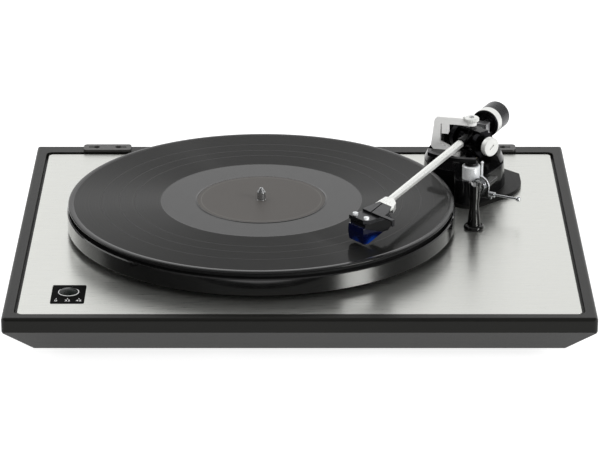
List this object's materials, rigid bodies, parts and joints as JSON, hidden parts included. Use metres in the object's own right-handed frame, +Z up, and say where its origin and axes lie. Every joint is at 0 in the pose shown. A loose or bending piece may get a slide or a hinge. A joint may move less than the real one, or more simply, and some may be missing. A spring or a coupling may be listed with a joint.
{
  "type": "record player",
  "caption": "Belt-drive turntable: bevelled plinth, brushed top plate, platter with a record, gimbal tonearm with counterweight and cueing lift",
  "frame": {"origin": "middle of the plinth's outline, on the surface that the feet stand on", "axes": "+X to the right along the front, +Y to the back, +Z up"},
  "size_m": [0.438, 0.368, 0.1009],
  "materials": {
    "plinth_lacquer": "satin charcoal lacquer on a wood-fibre plinth",
    "brushed_plate": "brushed across the width, clear anodised",
    "cover_black": "fine-grained black sheet",
    "foot_plastic": "satin black",
    "rubber": "matt black rubber",
    "hinge_grey": "dark grey satin paint",
    "panel_black": "satin black with plain white figures",
    "ring_white": "white ring",
    "knob_black": "soft gloss black dome",
    "motor_case": "plain steel case",
    "zinc_steel": "zinc-plated steel",
    "brass": "machined brass",
    "pulley_metal": "turned aluminium",
    "sub_platter": "moulded black",
    "platter_black": "gloss black",
    "mat": "matt black mat",
    "vinyl": "pressed black vinyl with grooves",
    "label": "plain dark grey-brown paper",
    "board_green": "green circuit board",
    "base_black": "soft gloss black",
    "flange_grey": "dark grey satin",
    "arm_silver": "satin silver anodised",
    "chrome": "polished",
    "frame_black": "soft gloss black anodised",
    "shell_grey": "dark grey anodised",
    "cartridge_black": "gloss black",
    "stylus_blue": "deep blue, slightly see-through",
    "weight_black": "blackened steel",
    "post_black": "gloss black"
  },
  "bodies": {
    "plinth": {"plinth_body": "plinth_lacquer", "top_plate": "brushed_plate", "bottom_cover": "cover_black", "cover_screws": "zinc_steel", "foot_front_left": "foot_plastic", "foot_front_right": "foot_plastic", "foot_rear_left": "foot_plastic", "foot_rear_right": "foot_plastic", "foot_pads": "rubber", "lid_hinge_left": "hinge_grey", "lid_hinge_right": "hinge_grey", "switch_panel": "panel_black", "switch_ring": "ring_white", "motor_body": "motor_case", "motor_flange": "zinc_steel", "motor_screws": "zinc_steel", "drive_belt": "rubber", "bearing_housing": "brass", "bearing_bushes": "brass", "thrust_ball": "zinc_steel", "control_board": "board_green", "connector_plate": "cover_black", "phono_sockets": "brass", "ground_post": "brass", "power_inlet": "cover_black", "arm_base_flange": "flange_grey", "arm_base_body": "base_black", "arm_clamp_nut": "zinc_steel", "pivot_bush": "brass", "pivot_yoke": "arm_silver", "upper_pivot_screw": "zinc_steel", "pivot_lock_nut": "arm_silver", "rest_post": "post_black", "lift_collar": "chrome", "lift_cam_housing": "chrome"},
    "platter": {"spindle_shaft": "zinc_steel", "sub_platter": "sub_platter", "platter": "platter_black", "platter_mat": "mat", "record_disc": "vinyl", "record_label": "label"},
    "pulley": {"motor_pulley": "pulley_metal"},
    "knob": {"speed_knob": "knob_black"},
    "gimbal": {"bearing_frame": "frame_black"},
    "dial": {"bearing_dial": "arm_silver"},
    "arm": {"arm_hub": "frame_black", "arm_tube": "arm_silver", "shell_collar": "arm_silver", "headshell": "shell_grey", "cartridge_plate": "shell_grey", "cartridge_body": "cartridge_black", "cartridge_screws": "zinc_steel", "stylus_unit": "stylus_blue", "stylus_tip": "pulley_metal", "tail_shaft": "zinc_steel", "tail_block": "shell_grey"},
    "weight": {"counterweight": "weight_black", "weight_ring": "arm_silver"},
    "lift": {"lift_platform": "shell_grey"},
    "lever": {"cue_lever": "chrome"}
  },
  "joints": [
    {"name": "platter_spin", "type": "hinge", "parent": "plinth", "child": "platter", "pos_m": [-0.03, 0.003, 0.06], "axis": [0, 0, 1], "continuous": true},
    {"name": "pulley_spin", "type": "hinge", "parent": "plinth", "child": "pulley", "pos_m": [-0.12175, -0.06124, 0.05], "axis": [0, 0, 1], "continuous": true},
    {"name": "speed_select", "type": "hinge", "parent": "plinth", "child": "knob", "pos_m": [-0.1725, -0.1316, 0.042], "axis": [0, 0, 1], "range_deg": [0, 56]},
    {"name": "arm_yaw", "type": "hinge", "parent": "plinth", "child": "gimbal", "pos_m": [0.1385, 0.0955, 0.06], "axis": [0, 0, 1], "range_deg": [-21, 24.1]},
    {"name": "arm_pitch", "type": "hinge", "parent": "gimbal", "child": "arm", "pos_m": [0.1385, 0.0955, 0.081], "axis": [-0.6361, 0.7716, 0], "range_deg": [0, 3.49]},
    {"name": "dial_turn", "type": "hinge", "parent": "gimbal", "child": "dial", "pos_m": [0.15186, 0.0793, 0.081], "axis": [0.6361, -0.7716, 0], "range_deg": [0, 270]},
    {"name": "weight_shift", "type": "slide", "parent": "arm", "child": "weight", "axis": [0.4274, 0.9041, 0], "range_m": [-0.003, 0.008]},
    {"name": "lift_rise", "type": "slide", "parent": "plinth", "child": "lift", "axis": [0, 0, 1], "range_m": [0, 0.0025]},
    {"name": "lever_turn", "type": "hinge", "parent": "plinth", "child": "lever", "pos_m": [0.1445, 0.042, 0.0628], "axis": [-0.454, -0.891, 0], "range_deg": [0, 70]}
  ],
  "couplings": [
    {"joint": "pulley_spin", "follows": "platter_spin", "ratio": 6.3636},
    {"joint": "lift_rise", "follows": "arm_pitch", "m_per_rad": 0.04103},
    {"joint": "lever_turn", "follows": "arm_pitch", "ratio": 20.055}
  ]
}
